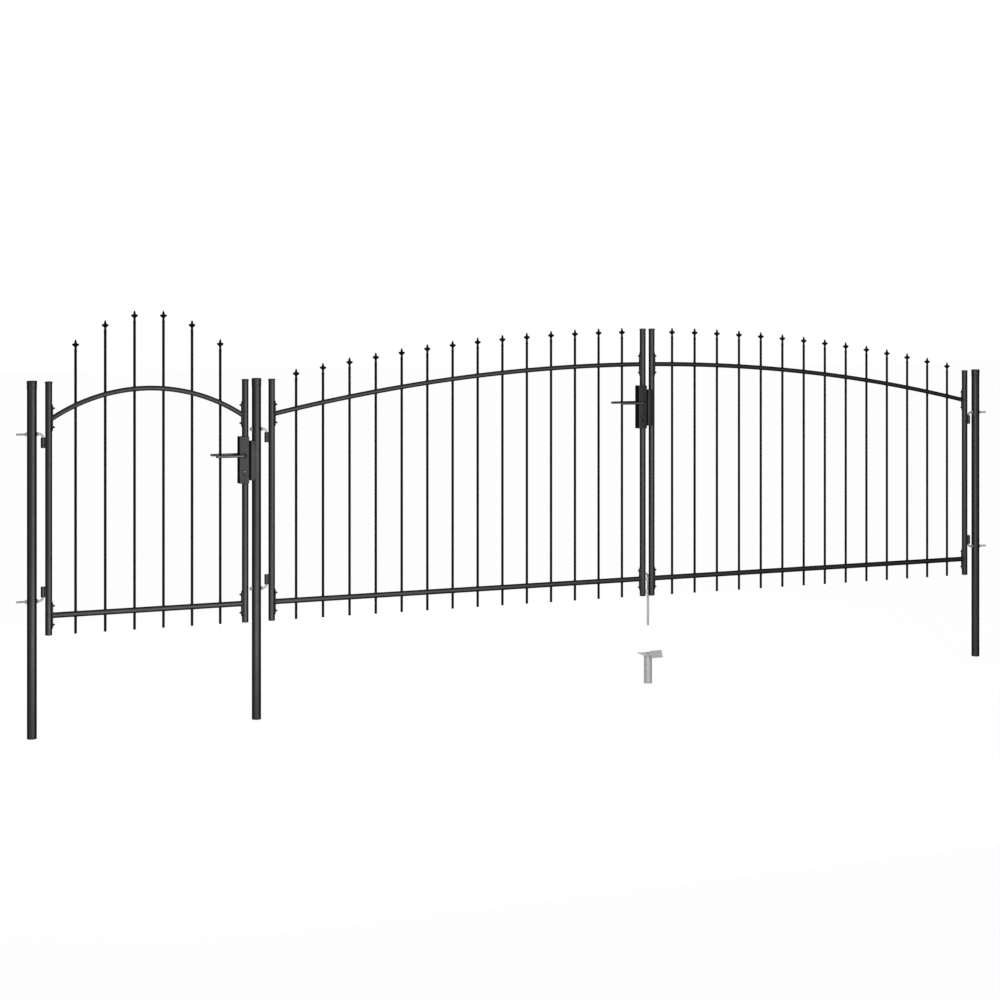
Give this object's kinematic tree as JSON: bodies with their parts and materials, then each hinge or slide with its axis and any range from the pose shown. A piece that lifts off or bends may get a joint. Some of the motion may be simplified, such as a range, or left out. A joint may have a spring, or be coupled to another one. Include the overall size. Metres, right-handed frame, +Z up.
{
  "type": "tubular steel driveway gate set with pedestrian gate",
  "caption": "Black tubular steel spear-top gate set on three posts: an arched pedestrian gate beside a double driveway gate, with lever locks, bolt hinges and a drop bolt.",
  "frame": {"origin": "middle of the middle post's foot, at the post's buried end", "axes": "+X along the closed gate from the pedestrian gate to the driveway gate, +Y to the garden side that the leaves open to, +Z up"},
  "size_m": [5.134, 0.1475, 1.8667],
  "materials": {
    "black_coat": "satin powder coat",
    "cap_plastic": "moulded black plastic",
    "galvanised_steel": "dull zinc plate",
    "cylinder_nickel": "satin nickel"
  },
  "bodies": {
    "posts": {"left_post": "black_coat", "middle_post": "black_coat", "right_post": "black_coat", "post_caps": "cap_plastic", "left_post_hinge_bolts": "galvanised_steel", "middle_post_hinge_bolts": "galvanised_steel", "right_post_hinge_bolts": "galvanised_steel", "left_post_hinge_nuts": "galvanised_steel", "middle_post_hinge_nuts": "galvanised_steel", "right_post_hinge_nuts": "galvanised_steel", "middle_post_keep": "black_coat", "ground_sleeve": "galvanised_steel", "ground_sleeve_plate": "galvanised_steel"},
    "single_gate": {"single_gate_hinge_stile": "black_coat", "single_gate_lock_stile": "black_coat", "single_gate_stile_caps": "cap_plastic", "single_gate_rails_and_bars": "black_coat", "single_gate_spear_tips": "black_coat", "single_gate_hinge_eyes": "black_coat", "single_gate_lock_case": "black_coat", "single_gate_lock_cylinder": "cylinder_nickel"},
    "single_handle": {"single_gate_handle": "black_coat"},
    "left_leaf": {"left_leaf_hinge_stile": "black_coat", "left_leaf_meeting_stile": "black_coat", "left_leaf_stile_caps": "cap_plastic", "left_leaf_rails_and_bars": "black_coat", "left_leaf_spear_tips": "black_coat", "left_leaf_hinge_eyes": "black_coat", "left_leaf_lock_case": "black_coat", "left_leaf_lock_cylinder": "cylinder_nickel"},
    "left_handle": {"left_leaf_handle": "black_coat"},
    "right_leaf": {"right_leaf_hinge_stile": "black_coat", "right_leaf_meeting_stile": "black_coat", "right_leaf_stile_caps": "cap_plastic", "right_leaf_rails_and_bars": "black_coat", "right_leaf_spear_tips": "black_coat", "right_leaf_hinge_eyes": "black_coat", "right_leaf_keep": "black_coat", "drop_bolt_guide": "galvanised_steel"},
    "drop_bolt": {"drop_bolt_rod": "galvanised_steel"}
  },
  "joints": [
    {"name": "single_gate_hinge", "type": "hinge", "parent": "posts", "child": "single_gate", "pos_m": [-0.953, 0, 0.598], "axis": [0, 0, 1], "range_deg": [0, 90]},
    {"name": "left_leaf_hinge", "type": "hinge", "parent": "posts", "child": "left_leaf", "pos_m": [0.047, 0, 0.598], "axis": [0, 0, 1], "range_deg": [0, 90]},
    {"name": "right_leaf_hinge", "type": "hinge", "parent": "posts", "child": "right_leaf", "pos_m": [3.953, 0, 0.598], "axis": [0, 0, -1], "range_deg": [0, 90]},
    {"name": "single_handle_turn", "type": "hinge", "parent": "single_gate", "child": "single_handle", "pos_m": [-0.0615, 0, 1.208], "axis": [0, -1, 0], "range_deg": [0, 45], "stiffness_Nm_per_rad": 1.2, "springref_deg": -34.38},
    {"name": "left_handle_turn", "type": "hinge", "parent": "left_leaf", "child": "left_handle", "pos_m": [1.966, 0, 1.413], "axis": [0, -1, 0], "range_deg": [0, 45], "stiffness_Nm_per_rad": 1.2, "springref_deg": -34.38},
    {"name": "drop_bolt_slide", "type": "slide", "parent": "right_leaf", "child": "drop_bolt", "axis": [0, 0, 1], "range_m": [0, 0.14]}
  ]
}
